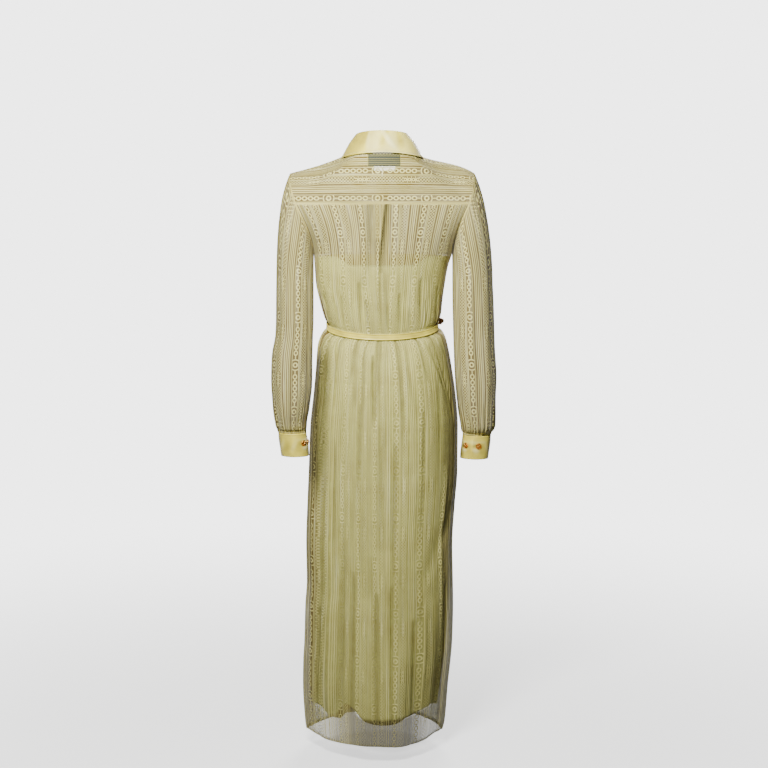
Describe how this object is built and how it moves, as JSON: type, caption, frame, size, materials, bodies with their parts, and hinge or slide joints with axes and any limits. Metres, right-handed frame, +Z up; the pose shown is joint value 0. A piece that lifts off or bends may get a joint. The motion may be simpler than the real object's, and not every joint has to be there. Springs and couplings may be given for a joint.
{
  "type": "shirt dress",
  "caption": "Long-sleeved ankle-length shirt dress in striped lace over a slip, in its hollow worn form, with a satin collar, button cuffs, a button front and a narrow belt.",
  "frame": {"origin": "middle of the neck opening, level with the back neck seam, where the wearer's neck holds the dress", "axes": "+Z up, -Y toward the front of the dress, +X toward the wearer's left"},
  "size_m": [0.549, 0.2859, 1.4727],
  "materials": {
    "lace": "fine openwork lace, matte",
    "satin": "smooth satin with a soft sheen",
    "lining": "fine plain-weave lining",
    "gold": "antique gold",
    "bronze": "dark antique bronze",
    "dark_weave": "dark woven label, bare",
    "white_tape": "white woven tape, bare"
  },
  "bodies": {
    "root": {"back_yoke": "lace", "back_panel": "lace", "left_front": "lace", "right_front": "lace", "left_sleeve": "lace", "right_sleeve": "lace", "front_band": "lace", "collar_stand": "satin", "collar": "satin", "left_cuff": "satin", "right_cuff": "satin", "belt": "satin", "belt_clasp": "bronze", "slip": "lining", "neck_label": "dark_weave", "size_tag": "white_tape", "front_button_1": "gold", "front_button_2": "gold", "front_button_3": "gold", "front_button_4": "gold", "front_button_5": "gold", "front_button_6": "gold", "front_button_7": "gold", "front_button_8": "gold", "front_button_9": "gold", "front_button_10": "gold", "front_button_11": "gold", "front_button_12": "gold", "front_button_13": "gold", "left_cuff_button_1": "gold", "left_cuff_button_2": "gold", "right_cuff_button_1": "gold", "right_cuff_button_2": "gold"}
  },
  "joints": []
}
